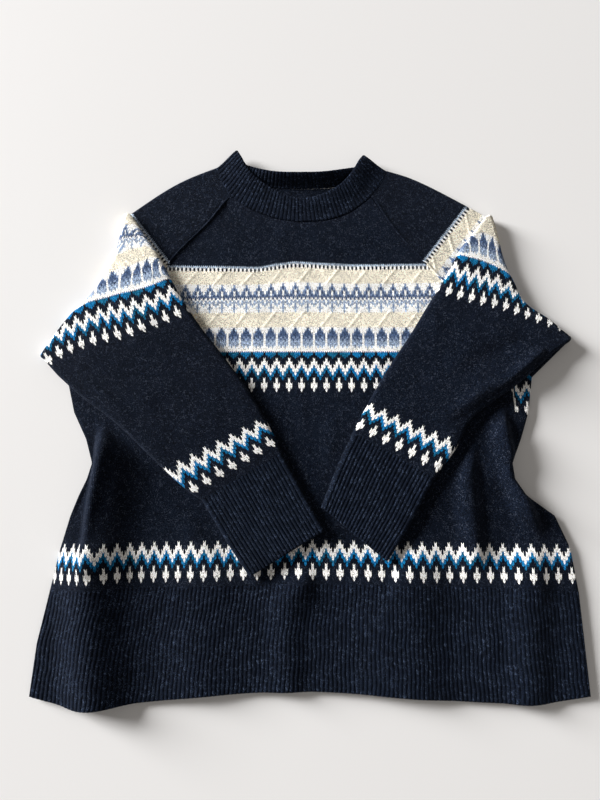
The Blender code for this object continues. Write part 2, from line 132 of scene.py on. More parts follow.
RIGHT = {
    "seam_rise": 0.0012,
    "neck": ((10.6, 27.6), (9.8, 26.1), (8.55, 24.3)),
    "back_neck": ((10.6, 27.6), (9.2, 27.0), (8.1, 26.6)),
    "shoulder": ((10.6, 27.6), (13.4, 26.8), (17.0, 25.1), (22.7, 22.0)),
    "turn": ((22.8, 22.0), (23.4, 19.0), (23.9, 16.4), (24.9, 13.8), (26.2, 11.2), (28.9, 9.2),
             (31.2, 7.0)),
    "folded": (
        (18.8, 17.8, 28.8, 5.2, 0.42), (16.6, 13.8, 26.4, 3.1, 0.46), (14.7, 10.8, 23.9, 1.1, 0.47),
        (12.6, 7.4, 21.3, -0.6, 0.47), (10.5, 4.3, 19.0, -2.6, 0.46), (8.2, 0.5, 17.4, -5.6, 0.43),
        (5.9, -3.8, 14.9, -8.9, 0.40),
    ),
    "cuff": (
        (5.86, -3.88, 14.86, -8.98, 0.40), (4.6, -6.4, 13.4, -11.5, 0.40),
        (3.4, -9.2, 11.8, -14.4, 0.40), (2.3, -12.0, 9.5, -17.9, 0.39),
    ),
    "tick_row": ((14.4, 16.4), (19.5, 22.9)),
    "rows": (
        (24, 0, 4.4, ((18.2, 18.6), (20.0, 21.6), (22.6, 22.6))),
        (35, 3, 4.4, ((18.6, 18.4), (20.6, 19.6), (22.4, 19.0), (24.0, 17.8))),
        (48, 0, 4.4, ((18.2, 16.9), (20.4, 16.3), (22.6, 15.5), (24.6, 14.4))),
        (68.5, 0, 4.47, ((17.0, 12.4), (18.3, 12.0), (20.7, 11.4), (23.3, 10.8), (26.0, 9.8), (28.6, 8.9))),
        (154, 6, 3.92, ((8.0, -0.6), (16.4, -4.3))),
        (170.5, 6, 3.76, ((6.6, -3.0), (15.1, -7.4))),
        (177, 6, 3.6, ((5.9, -3.9), (14.8, -8.8))),
    ),
}
PRESSED = (  # lower outline of the two folded sleeves: x, y
    (-29.5, 4.3), (-26.2, 1.3), (-22.6, -1.1), (-17.8, -5.5), (-11.5, -11.3), (-9.0, -14.4),
    (-5.4, -19.7), (-1.0, -17.2), (3.0, -15.0), (7.2, -17.0), (9.5, -18.4), (14.9, -9.4),
    (17.8, -5.8), (20.7, -0.9), (26.3, 2.8), (31.0, 6.5),
)
FOLDS = (  # y top, y low, x top, x middle, x low, width left, width right, height
    (3.0, -20.0, -20.9, -22.2, -23.3, 1.4, 6.2, 1.30),
    (-15.0, -42.0, -23.4, -22.4, -20.5, 4.5, 5.0, 1.15),
    (-9.0, -40.0, -11.5, -11.0, -10.5, 5.0, 6.0, 0.30), (2.0, -24.0, 0.0, 0.0, 0.2, 3.5, 2.2, 0.50),
    (-18.0, -40.0, -1.6, -1.4, -1.2, 3.0, 2.6, 0.30), (-14.0, -40.0, 11.5, 12.0, 13.0, 8.0, 5.0, 0.45),
    (0.0, -20.0, 18.2, 18.6, 19.3, 2.2, 1.8, 0.65), (6.0, -16.0, 22.6, 23.0, 26.6, 2.4, 1.2, 1.00),
    (-14.0, -40.0, 25.0, 24.5, 24.0, 3.0, 3.5, 0.45),
)
FADE = 4.0  # length over which a fold rises from each of its ends
PRESS_FROM, PRESS_OVER = 4.4, 3.8  # folds flatten this far below the sleeves, over this length
PROUD = 1.3  # how far the knit's folds stand above those of the solids
SIDE_INSET = 0.02  # gap between a panel and a sleeve at their seam, on the panel's side
SEAM_INSET = 0.01  # gap between a panel and its hem rib, on each side
NECK_INSET = 0.03  # gap between a panel and the neckband
BACK_LAP = 0.04  # how far the back's hem rib goes on past the seam line
NECK_TURN = ((0.315, 0.165), (1.0, 0.2))  # height and radius of a side fold, at its seam and free edge
NECK_TURN_ANGLE = 60  # degrees from the middle of a side fold to where it meets front and back
NECK_TUCK = 0.04  # how far a sleeve goes on under the neckband, as a share of its yoke
NEAR_SIDE = 11  # one over the share of a sleeve's face that its round side draws in

# Soft creases, each along a straight line: x0, y0, x1, y1, half width, height
BODY_CREASES = (
    (-1.5, 22.0, -3.2, 14.0, 0.9, 0.10), (2.6, 21.0, 4.6, 13.0, 1.3, 0.06),
    (-7.0, 20.5, -10.5, 13.0, 1.2, 0.07), (-8.0, 12.5, 6.0, 13.4, 0.7, 0.05),
    (-6.5, 8.4, 9.5, 7.4, 0.9, 0.06), (-3.5, 3.2, 6.0, 2.2, 0.7, 0.05),
    (-0.2, 3.0, 0.6, -6.0, 0.6, 0.08), (3.9, 1.0, 3.2, -9.0, 0.7, 0.09),
    (-21.0, -1.5, -23.6, -18.0, 0.6, 0.42), (-22.6, -3.0, -26.0, -15.5, 0.8, -0.40),
    (-19.5, -4.0, -18.5, -17.0, 1.0, -0.14), (-15.0, -9.5, -16.6, -20.0, 1.3, 0.12),
    (-12.0, -12.5, -12.6, -19.0, 0.8, 0.08), (14.0, -13.0, 15.2, -24.0, 1.0, 0.10),
    (21.2, -3.0, 21.6, -12.0, 0.6, 0.16), (25.0, -14.0, 26.5, -24.0, 0.9, 0.14),
    (9.5, -20.0, 9.0, -31.0, 1.4, 0.10), (-18.0, -22.0, -19.0, -32.0, 1.5, 0.14),
    (-6.0, -21.5, -5.0, -31.5, 1.3, 0.08), (20.5, -21.0, 20.0, -32.0, 1.2, 0.10),
)
LEFT_CREASES = (
    (-19.2, 18.2, -24.0, 16.0, 0.55, 0.34), (-17.0, 16.4, -23.6, 14.4, 0.5, -0.16),
    (-15.2, 13.2, -20.0, 4.0, 1.0, 0.08), (-19.5, 3.0, -14.0, -5.5, 1.2, 0.10),
    (-26.8, 4.6, -16.8, -4.3, 0.7, 0.12), (-11.0, 4.5, -8.5, -4.0, 1.0, 0.08),
    (-12.6, 1.6, -16.8, -1.8, 0.8, -0.07), (-22.8, 9.4, -25.6, 2.6, 0.9, 0.08),
)
RIGHT_CREASES = (
    (31.0, 7.6, 21.0, 0.3, 0.8, 0.50), (24.0, 3.2, 14.6, -3.4, 0.8, 0.34),
    (28.0, 8.2, 17.0, 2.6, 1.0, -0.16), (17.0, 12.0, 13.4, 3.6, 1.1, 0.08),
    (21.0, 9.6, 16.0, 1.0, 1.3, 0.07), (25.6, 11.8, 29.4, 7.6, 0.7, 0.10),
)

# Knitting, as charts: each line is a row and its four letters are the stitches of half a
# repeat, from the column of the peaks and crosses to the column halfway to the next one.
REPEAT = 6
ZIGZAG = (
    "wnnn", "wnnn", "wwnn", "wwnn", "bwwn", "bwwn", "bbww", "nbww", "nbbw", "nnbw", "nnbb", "nnnb",
    "wnnb", "wnnn", "wnnn", "wwnn", "wwnn", "wwnn", "wnnn", "wnnn",
)
CHEST = (
    "llll", "wnwn", "wnwn",
    *("cccc",) * 8,
    "wwwg", "wwwg", "wwgs", "wwgs", "wgsw", "wgsw", "gsgw",
    "ssss", "swsw",
    "wgwl", "wlgl", "lgwg", "lwwg", "wwlg", "wwwl", "wwwl",
    *("cccc",) * 8,
    "wwws", "wwls", "wwss", "wgss", "wsss", "wsgs", "wgsg", "wlgl", "wglg", "wlgl", "wwlw",
    "wwww", "wwww",
    "nbbb", "nbbb", "nnbb", "nnnb",
) + ZIGZAG
LATTICE_ROWS = ((3, 11.5), (26.5, 35))
HEM_ROW = 154  # row at which the second zigzag starts, on body and sleeves
ROW = 0.2  # height of a row, in centimetres
STITCH = 0.237  # width of a stitch of the yoke, in centimetres
BODY_ROWS = (  # row, then its y at each x of BODY_ROWS_AT
    (0, 15.9, 15.8, 15.6, 16.3, 15.9, 16.0, 16.4), (18, 12.0, 12.0, 12.1, 12.2, 12.1, 12.2, 12.5),
    (48, 5.5, 5.5, 5.5, 5.5, 5.5, 5.5, 5.5), (72, 0.9, 0.9, 0.9, 0.9, 0.9, 0.9, 0.9),
    (154, -16.1, -15.8, -15.7, -15.6, -15.7, -15.9, -16.1),
    (174, -20.2, -20.05, -19.85, -19.7, -19.9, -20.1, -20.2),
)
BODY_ROWS_AT = (-25.0, -15.0, -5.0, -0.8, 6.0, 15.0, 27.0)
CHEST_WALES = ((-30.0, -127.0), (0.07, 0.0), (30.0, 126.4))  # x, wale at the chest
HEM_WALES = (  # x, wale at the hem, closer together in the deep fold on the left
    (-28.8, -134), (-25.8, -114), (-24.1, -104), (-22.9, -96), (-21.2, -90), (-17.4, -72), (-12.0, -48),
    (-6.3, -24), (4.24, 18), (7.3, 30), (14.7, 60), (30.0, 122),
)
SIDE_DROP = (24.1, 2.7)  # x from which the pattern lies lower, where the side rolls under, and by how much
COLOURS = {  # sRGB
    "n": (0.052, 0.077, 0.124),  # navy
    "w": (0.985, 0.975, 0.955),  # white
    "c": (0.935, 0.90, 0.82),  # cream
    "b": (0.05, 0.46, 0.70),  # blue
    "g": (0.51, 0.575, 0.68),  # blue grey
    "s": (0.265, 0.335, 0.46),  # slate
    "l": (0.65, 0.71, 0.785),  # light blue grey
}
BLUE_IN_SHADE = (0.05, 0.33, 0.43)  # painted shade: the blue yarn as it looks in shade, laid on in broad patches
RIB_FIBRE = (0.33, 0.38, 0.47)  # stray fibres on the ribs
CHART_FIBRE = (0.45, 0.47, 0.52)  # stray fibres on the charted knit
BUMP = 0.0009  # height of the stitches in the material
STITCH_SLANT = 1.1  # rows that each leg of a stitch rises by
LATTICE_SPACING, LATTICE_WIDTH = 3.3, 0.11  # centimetres between ridges, and half width as a share of that
NOISES = ((900.0, 0.65), (380.0, 0.55), (45.0, 0.5))  # scale and roughness: fine, clumps and broad
SHEEN_TINT = (0.72, 0.78, 0.92)
LAMPS = (  # name, place, size, power, colour
    ("window", (-11.1, 5.25, 3.6), 4.8, 4680.0, (0.975, 0.985, 1.0)),
    ("fill", (0.9, -1.4, 1.6), 1.6, 3.0, (1.0, 0.97, 0.94)),
)
CAMERA_HEIGHT, CAMERA_TILT = 0.68, 8  # metres, and degrees from straight down
CAMERA_AIM = (-0.0072, 0.0146)  # x and y of the spot on the floor in the middle of the view
RIB_COUNTS = {"hem": 130, "cuff": 46, "neckband": 96}
RIB_ROWS = {"hem": 58, "cuff": 50, "neckband": 17}
RIB_SAMPLES = 8  # columns of points to a rib
RIB_DEPTH = 0.0008
HEM_RIBS = (  # name, columns of points to a rib, distance between rows of points, depth
    ("front_hem_rib", RIB_SAMPLES, 0.0042, RIB_DEPTH),
    ("back_hem_rib", 4, 0.008, 0.3 * RIB_DEPTH),
)
SEAM_WIDTH = 0.0030  # half width of the cord of a raglan seam

# Points that make up a sleeve
SLEEVE_COUNT = 84  # points across each face
NECK_COUNT = 14  # those that lie along the neck, at the seam
ARC_COUNT = 5  # points round each side of a flattened tube
ROOT_CLOSE = (0.004, 0.008, 0.014, 0.02, 0.026, 0.032, 0.038, 0.046, 0.058, 0.072)  # rings near the seam
ROOT_EVEN = (0.09, 1, 34)  # first, last and number of the rings from there to the turn
TURN_STEPS = 13
FOLDED_STEPS = 96


def linear(colour):
    """An sRGB colour as linear values with full alpha."""
    values = [c / 12.92 if c <= 0.04045 else ((c + 0.055) / 1.055) ** 2.4 for c in colour]
    return (*values, 1.0)


FINISH = (  # what is the same all over the knit
    ("Roughness", 0.95),
    ("Specular IOR Level", 0.06),
    ("Sheen Weight", 0.05),
    ("Sheen Roughness", 0.5),
    ("Sheen Tint", linear(SHEEN_TINT)),
)


def ease(value):
    value = np.clip(value, 0, 1)
    return value * value * (3 - 2 * value)


def unit(vector):
    return vector / np.linalg.norm(vector, axis=-1, keepdims=True)


def smooth(points, at):
    """Points of a smooth curve through the given ones, at fractions of its length."""
    points = np.asarray(points, float)
    ends = np.concatenate([points[:1], points, points[-1:]])
    fine = []
    for before, a, b, after in zip(ends, ends[1:], ends[2:], ends[3:]):
        t = np.linspace(0, 1, 24, endpoint=False)[:, None]
        bend = t * (1 - t) * ((1 - t) * (b - before) - t * (after - a)) / 2
        fine.append(a + (b - a) * ease(t) + bend)
    return along(np.concatenate([*fine, points[-1:]]), at)


def along(points, at):
    """Points of a line of straight pieces, at fractions of its length."""
    points = np.asarray(points, float)
    steps = np.linalg.norm(np.diff(points, axis=0), axis=1)
    length = np.concatenate(([0], np.cumsum(steps)))
    return np.stack([np.interp(np.asarray(at) * length[-1], length, c) for c in points.T], axis=1)


def fractions(length, step, first=False, last=False):
    """Fractions of a line this long, step apart, and closer at the ends that are rounded."""
    start = ROUNDING[-1] if first else 0
    stop = length - (ROUNDING[-1] if last else 0)
    middle = np.linspace(start, stop, max(2, round((stop - start) / step) + 1))
    before = ROUNDING[:-1] if first else ()
    after = [length - e for e in ROUNDING[-2::-1]] if last else ()
    return np.concatenate([before, middle, after]) / length


def patch(bottom, top, left, right, across, up):
    """A grid of plan points between four edges. left and right run from bottom to top."""
    across, up = across[None, :, None], up[:, None, None]
    corners = (
        (1 - across) * (1 - up) * bottom[0]
        + across * (1 - up) * bottom[-1]
        + (1 - across) * up * top[0]
        + across * up * top[-1]
    )
    rows = (1 - up) * bottom[None] + up * top[None]
    columns = (1 - across) * left[:, None] + across * right[:, None]
    return rows + columns - corners


def bell_creases(x, y, creases):
    """Height of soft creases: a bell across each, which fades at its two ends."""
    rise = np.zeros_like(x)
    for x0, y0, x1, y1, width, height in creases:
        length = math.hypot(x1 - x0, y1 - y0)
        ux, uy = (x1 - x0) / length, (y1 - y0) / length
        far = (x - x0) * ux + (y - y0) * uy
        off = ((x - x0) * uy - (y - y0) * ux) / width
        ends = ease(far / length / 0.45) * ease((length - far) / length / 0.45)
        rise += height * np.exp(-off * off) * ends
    return rise


def waves(x, y, size):
    """Gentle unevenness of cloth that nothing presses flat, never below zero."""
    rise = np.sin(0.9 * x + 0.5 * y + 1.0) + np.sin(0.37 * x - 1.1 * y + 2.3)
    rise += np.sin(1.7 * x + 0.8 * y + 0.4) * 0.5 + np.sin(-1.3 * x + 1.9 * y + 5.1) * 0.4
    return size * (rise + 2.9) / 5.8


def front_rise(x, y):
    """Height of the front's soft folds above its flat lie, all in centimetres."""
    rise = np.zeros_like(x)
    for top, low, x_top, x_mid, x_low, left, right, height in FOLDS:
        t = np.clip((top - y) / (top - low), 0, 1)
        crest = x_top * (1 - t) * (1 - 2 * t) + 4 * x_mid * t * (1 - t) + x_low * t * (2 * t - 1)
        off = (x - crest) / np.where(x < crest, left, right)
        shape = np.where(np.abs(off) < 1, (1 + np.cos(np.pi * np.clip(off, -1, 1))) / 2, 0)
        rise += height * shape * ease((top - y) / FADE) * ease((y - low) / FADE)
    return rise * unpressed(x, y) * PROUD


def unpressed(x, y):
    """1 well below the folded sleeves, falling to 0 before their lower outline."""
    outline = np.interp(x, *np.transpose(PRESSED))
    return 1 - ease((y - outline + PRESS_FROM) / PRESS_OVER)


def uncovered(x, y):
    """1 where no sleeve lies on the front, falling to 0 under their edges."""
    inner = []
    for side in (LEFT, RIGHT):
        line = sorted((row[1], row[0]) for row in side["folded"] + side["cuff"])
        inner.append(np.interp(y, *np.transpose(line)))
    window = ease(np.minimum(x - inner[0], inner[1] - x) / 1.5)
    return np.maximum(window, unpressed(x, y))


def side_distance(x, y):
    """Distance inside the body's side edges, where front and back meet, in centimetres."""
    ys, left, right = np.transpose(sorted(SIDES))
    return np.minimum(x - np.interp(y, ys, left), np.interp(y, ys, right) - x)


def front_z(plan):
    x, y = plan[..., 0], plan[..., 1]
    loose = bell_creases(x, y, BODY_CREASES) + waves(x, y, 0.07)
    rise = front_rise(x, y) + loose * uncovered(x, y)
    inside = side_distance(x, y)
    return FRONT_Z + CM * rise * ease(inside / 0.8)


def place(plan, z):
    """Plan points in centimetres and heights in metres as points of the frame."""
    flat = (np.asarray(plan) - ORIGIN) * CM
    return np.concatenate([flat, np.broadcast_to(np.asarray(z)[..., None], flat.shape[:-1] + (1,))], -1)


def grid_normals(middle, around):
    """Unit normals of a grid of points, to the side from which its faces run anticlockwise."""
    if around:
        wrapped = np.concatenate([middle[:, -1:], middle, middle[:, :1]], axis=1)
        across = wrapped[:, 2:] - wrapped[:, :-2]
    else:
        across = np.gradient(middle, axis=1)
    return unit(np.cross(across, np.gradient(middle, axis=0)))


def edge_round(distance):
    """Share of the cloth's thickness at a distance from a rounded edge."""
    inside = np.clip(distance / ROUNDING[-1], 0, 1)
    return EDGE_SHARE + (1 - EDGE_SHARE) * np.sqrt(1 - (1 - inside) ** 2)


def corners(grid):
    """What a grid holds at the four corners of each of its faces."""
    return grid[:-1, :-1], grid[:-1, 1:], grid[1:, 1:], grid[1:, :-1]


def shell(name, middle, around, stitches, relief=0.0, share=1.0, flip=False, under_relief=0.0):
    """A closed wall of cloth on a grid of middle points.

    stitches holds the wale and row at each point, relief lifts the outer face and under_relief the
    inner one, share thins the wall towards rounded edges, and flip swaps the two faces.
    """
    sign = -1 if flip else 1
    normal = grid_normals(middle, around) * sign
    half = (CLOTH / 2 * np.broadcast_to(share, middle.shape[:2]))[..., None]
    relief = np.broadcast_to(relief, middle.shape[:2])[..., None]
    under = np.broadcast_to(under_relief, middle.shape[:2])[..., None]
    outer = middle + normal * (half + relief)
    inner = middle - normal * (half - under)
    rows, cols = middle.shape[:2]
    index = np.arange(rows * cols).reshape(rows, cols)
    if around:
        index = np.concatenate([index, index[:, :1]], axis=1)
        if stitches.shape[1] == cols:
            stitches = np.concatenate([stitches, stitches[:, :1]], axis=1)
    quads = np.stack(corners(index), axis=-1).reshape(-1, 4)
    coords = np.stack(corners(stitches), axis=-2).reshape(-1, 4, 2)
    under_side = rows * cols
    faces = [quads, quads[:, ::-1] + under_side]
    uvs = [coords, coords[:, ::-1]]
    rims = [(index[0, ::-1], stitches[0, ::-1]), (index[-1], stitches[-1])]
    if not around:
        rims += [(index[:, 0], stitches[:, 0]), (index[::-1, -1], stitches[::-1, -1])]
    for line, at in rims:
        rim = line[:-1], line[1:], line[1:] + under_side, line[:-1] + under_side
        faces.append(np.stack(rim, axis=-1))
        uvs.append(np.stack([at[:-1], at[1:], at[1:], at[:-1]], axis=1))
    faces, uvs = np.concatenate(faces), np.concatenate(uvs)
    if flip:
        faces, uvs = faces[:, ::-1], uvs[:, ::-1]
    mesh = bpy.data.meshes.new(name)
    points = np.concatenate([outer.reshape(-1, 3), inner.reshape(-1, 3)])
    mesh.from_pydata(points.tolist(), [], faces.tolist())
    layer = mesh.uv_layers.new(name="stitches")
    layer.data.foreach_set("uv", uvs.reshape(-1).astype(np.float32))
    mesh.shade_smooth()
    mesh.set_sharp_from_angle(angle=math.radians(SHARP_ANGLE))
    piece = bpy.data.objects.new(name, mesh)
    bpy.context.scene.collection.objects.link(piece)
    return piece


def signed_distance(points, line):
    """Distance of plan points past a line, and how far along it each is, in centimetres."""
    best = np.full(points.shape[:-1], np.inf)
    signed, far = np.zeros_like(best), np.zeros_like(best)
    start = 0.0
    for i in range(len(line) - 1):
        a, step = line[i], line[i + 1] - line[i]
        length = math.hypot(*step)
        ux, uy = step / length
        x, y = points[..., 0] - a[0], points[..., 1] - a[1]
        s = x * ux + y * uy
        low = -np.inf if i == 0 else 0
        high = np.inf if i == len(line) - 2 else length
        t = np.clip(s, low, high)
        gap = np.hypot(x - ux * t, y - uy * t)
        nearer = gap < best
        best = np.where(nearer, gap, best)
        signed = np.where(nearer, gap * np.sign(x * uy - y * ux), signed)
        far = np.where(nearer, start + t, far)
        start += length
    return signed, far


def sleeve_stitches(points, rows, side):
    """Wale and row on the outer face of a sleeve, between the lines that its charted rows follow."""
    found = []
    for row, wale, pitch, line in rows:
        signed, far = signed_distance(points, smooth(line, np.linspace(0, 1, 12)))
        found.append((row, signed * side, wale + far * pitch))
    first, last = found[0], found[-1]
    wale, row = first[2].copy(), first[0] + first[1] / ROW
    for (row_a, past_a, wale_a), (row_b, past_b, wale_b) in zip(found, found[1:]):
        span = past_a - past_b
        share = np.clip(past_a / np.where(np.abs(span) < 1e-6, 1e-6, span), 0, 1)
        inside = past_a >= 0
        row = np.where(inside, row_a + (row_b - row_a) * share, row)
        wale = np.where(inside, wale_a + (wale_b - wale_a) * share, wale)
    beyond = last[1] > 0
    row = np.where(beyond, last[0] + last[1] / ROW, row)
    wale = np.where(beyond, last[2], wale)
    return np.stack([wale, row], axis=-1)


def yoke_stitches(points, tick_row, side):
    """Wale and row on the stretch of a sleeve between its raglan seam and where it turns over."""
    signed, far = signed_distance(points, np.array(tick_row, float))
    return np.stack([far / STITCH, signed * side / ROW], axis=-1)


def body_stitches(plan, drop):
    """Wale and row on the body, by its charted rows."""
    x, y = plan[..., 0], plan[..., 1]
    y = y + drop * SIDE_DROP[1] * ease((x - SIDE_DROP[0]) / 0.3) * (1 - ease((-y - 8.0) / 3.0))
    heights = [np.interp(x, BODY_ROWS_AT, line[1:]) for line in BODY_ROWS]
    numbers = [line[0] for line in BODY_ROWS]
    row = numbers[0] - (y - heights[0]) / ROW
    for i in range(len(numbers) - 1):
        share = (heights[i] - y) / (heights[i] - heights[i + 1])
        row = np.where(y < heights[i], numbers[i] + (numbers[i + 1] - numbers[i]) * share, row)
    chest = np.interp(x, *np.transpose(CHEST_WALES))
    hem = np.interp(x, *np.transpose(HEM_WALES))
    low = ease((2.0 - y) / 18.0)
    return np.stack([chest * (1 - low) + hem * low, row], axis=-1)


def side_line(index, raglan, side_count, raglan_count):
    """One side of a panel from hem seam to neck: the body's side, then the raglan seam."""
    seam = HEM_SEAM[0][1] if index == 1 else HEM_SEAM[-1][1]
    rows = sorted(SIDES)
    ys = np.linspace(seam, SIDES[0][0], side_count)
    side = np.stack([np.interp(ys, [r[0] for r in rows], [r[index] for r in rows]), ys], axis=1)
    sleeve = smooth([(row[index], row[0]) for row in raglan[::-1]], np.linspace(0, 1, raglan_count))
    line = np.concatenate([side, sleeve[1:]])
    line[:, 0] -= np.sign(line[:, 0]) * SIDE_INSET
    return line


def panel(raglan, neck, step):
    """Plan points of a body panel, from hem seam to neck, and their distance from its sides in metres."""
    across = fractions(PANEL_WIDTH, step, True, True)
    counts = round(SIDE_LENGTH / step), round(RAGLAN_LENGTH / step)
    left, right = side_line(1, raglan, *counts), side_line(2, raglan, *counts)
    bottom = smooth(HEM_SEAM, across) + (0, SEAM_INSET)
    bottom[0], bottom[-1] = left[0], right[0]
    top = smooth(neck, across) - (0, NECK_INSET)
    left[-1], right[-1] = top[0], top[-1]
    plan = patch(bottom, top, left, right, across, np.linspace(0, 1, len(left)))
    width = np.linalg.norm(np.diff(plan, axis=1), axis=2)
    far = np.concatenate([np.zeros((len(plan), 1)), np.cumsum(width, axis=1)], axis=1) * CM
    return plan, np.minimum(far, far[:, -1:] - far)


def panels():
    """Front and back panels. The front keeps its full thickness along its raglan seams."""
    front_neck = [row[:2] for row in NECKBAND[1 : NECK_FRONT - 1]]
    back_neck = [row[:2] for row in NECKBAND[NECK_FRONT:]][::-1]
    plan, edge = panel(RAGLAN, front_neck, 0.0025)
    raglan = ease((plan[..., 1] - 3.0) / 1.5)
    front = shell(
        "front_panel_knit", place(plan, front_z(plan)), False, body_stitches(plan, 1.0),
        share=np.maximum(edge_round(edge), raglan),
    )
    plan, edge = panel(BACK_RAGLAN, back_neck, 0.005)
    back = shell(
        "back_panel_knit", place(plan, np.full(plan.shape[:2], BACK_Z)), False, body_stitches(plan, 0.0),
        share=edge_round(edge),
    )
    return {"front_panel": front, "back_panel": back}


def rib_profile(turns, far):
    """Height of ribs, -0.75 in the grooves and near 0.1 on the ridges, at a number of turns across."""
    ridge = np.abs(np.cos(np.pi * turns)) ** 0.55
    lumps = np.sin(9.1 * far + 2.3 * np.round(turns)) + np.sin(23.0 * far - 1.7 * np.round(turns))
    return ridge * (0.86 + 0.09 * lumps) - 0.75


def wander(turns, far):
    """How far ribs stray sideways, in ribs, where they run far up the cloth."""
    return 0.10 * np.sin(1.3 * far + 0.21 * turns) + 0.06 * np.sin(3.1 * far - 0.57 * turns)


def hem_ribs():
    """Front and back hem ribs, from the bottom edge to where the body starts."""
    ys, *sides = np.transpose(sorted(SIDES))
    pieces = {}
    for name, samples, step, depth in HEM_RIBS:
        across = np.linspace(0, 1, RIB_COUNTS["hem"] * samples + 1)
        up = fractions(HEM_DEPTH, step, first=True)
        front = name == "front_hem_rib"
        top = smooth(HEM_SEAM, across) + (0, -SEAM_INSET if front else BACK_LAP)
        bottom = smooth(HEM_EDGE, across)
        lines = []
        for end, xs in zip((0, -1), sides):
            line = bottom[end] + (top[end] - bottom[end]) * up[:, None]
            line[1:-1, 0] = np.interp(line[1:-1, 1], ys, xs)
            lines.append(line)
        plan = patch(bottom, top, *lines, across, up)
        z = front_z(plan) if front else np.full(plan.shape[:2], BACK_Z)
        turns = np.broadcast_to(across * RIB_COUNTS["hem"], plan.shape[:2])
        fade = np.broadcast_to(ease((1 - up) / 0.03)[:, None], plan.shape[:2])
        edge = np.minimum((up * HEM_DEPTH)[:, None], side_distance(plan[..., 0], plan[..., 1]) * CM)
        rows = np.broadcast_to((1 - up)[:, None] * RIB_ROWS["hem"], plan.shape[:2])
        turns = turns + wander(turns, rows * ROW)
        relief = rib_profile(turns, rows * ROW) * depth * fade
        pieces[name] = shell(
            name + "_knit", place(plan, z), False, np.stack([turns + 0.5, rows], axis=-1),
            relief=relief, share=edge_round(edge),
        )
    return pieces


def neckband():
    """The ring round the neck: its front lies flat, its back stands up, and it folds at the sides."""
    table = np.array(NECKBAND)
    front, back = table[:NECK_FRONT], table[NECK_FRONT:]
    ring = []
    for rows, side in ((front, NECK_SIDES[0]), (back, NECK_SIDES[1])):
        ring += list(smooth(rows, np.linspace(0, 1, 20)))
        seam, free = np.array(side[:2]), np.array(side[2:])
        fold = unit(free - seam)
        out = np.array((-fold[1], fold[0]))
        out = out * np.sign(out[1])
        turn = np.linspace(1, -1, 7) * math.radians(NECK_TURN_ANGLE)
        for angle in turn if side is NECK_SIDES[0] else turn[::-1]:
            row = []
            for point, (z, radius) in zip((seam, free), NECK_TURN):
                centre = point - out * (radius + WALL / CM / 2)
                row += [*(centre + out * radius * math.cos(angle)), z + radius * math.sin(angle)]
            ring.append(row)
    ring = np.array(ring + ring[:1])
    count = RIB_COUNTS["neckband"] * RIB_SAMPLES
    ring = along(ring, np.arange(count) / count)
    kernel = np.hanning(7) / np.hanning(7).sum()
    wrapped = np.concatenate([ring[-3:], ring, ring[:3]])
    ring = np.stack([np.convolve(c, kernel, mode="valid") for c in wrapped.T], axis=1)
    up = fractions(NECKBAND_DEPTH, 0.0028, True, True)
    t = (0.02 + 0.98 * up)[:, None, None]
    middle = ring[None, :, :3] * (1 - t) + ring[None, :, 3:] * t
    lift = ease((t[..., 0] - 0.1) / 0.9)
    middle[..., 2] = ring[None, :, 2] * (1 - lift) + ring[None, :, 5] * lift
    middle[..., 2] += 0.07 * (1 - ease(t[..., 0] / 0.5))
    middle = place(middle[..., :2], middle[..., 2] * CM)
    turns = np.arange(count + 1) / RIB_SAMPLES
    edge = np.broadcast_to(np.minimum(up, 1 - up)[:, None] * NECKBAND_DEPTH, middle.shape[:2])
    share = edge_round(edge)
    relief = rib_profile(turns[None, :-1], up[:, None] * NECKBAND_DEPTH / CM) * RIB_DEPTH * share
    rows = (1 - up)[:, None] * RIB_ROWS["neckband"]
    stitches = np.stack(np.broadcast_arrays(turns[None] + 0.5, rows), axis=-1)
    return {"neckband": shell(
        "neckband_knit", middle, True, stitches, relief=relief, share=share, flip=True,
        under_relief=-relief * 0.5,
    )}


def ring_of(station, ends):
    """Points round a flattened tube, and the plan points that their stitches are read at."""
    front, back, normal, half, plan_front, plan_back, back_shows = station
    reach = half - WALL / 2
    points, plans = [front + normal * reach], [plan_front]
    shown = plan_back if back_shows else plan_front
    for last in (-1, 0):
        angles = np.linspace(0, np.pi, ARC_COUNT + 2)[1:-1]
        angles = angles if last else angles[::-1]
        cosine, sine = np.cos(angles)[:, None], np.sin(angles)[:, None]
        points.append(front[last] + (normal[last] * cosine + ends[last] * sine) * reach)
        turned = (np.pi - angles if back_shows else angles)[:, None] * reach / CM
        plans.append(shown[last] + unit(shown[last] - shown[-1 - last]) * turned)
        if last:
            points.append((back - normal * reach)[::-1])
            plans.append(plan_back[::-1])
    return np.concatenate(points), np.concatenate(plans)


def tube_rings(stations):
    """Rings of points of a flattened tube, open at both ends, with their plan points."""
    rings, plans = [], []
    for i, station in enumerate(stations):
        before, after = stations[max(i - 1, 0)][0], stations[min(i + 1, len(stations) - 1)][0]
        front, normal = station[0], station[2]
        ends = {}
        for end, mate in ((0, -1), (-1, 0)):
            out = unit(np.cross(normal[end], after[end] - before[end]))
            ends[end] = out * np.sign(np.dot(out, front[end] - front[mate]))
        points, plan = ring_of(station, ends)
        rings.append(points)
        plans.append(plan)
    return np.array(rings), np.array(plans)


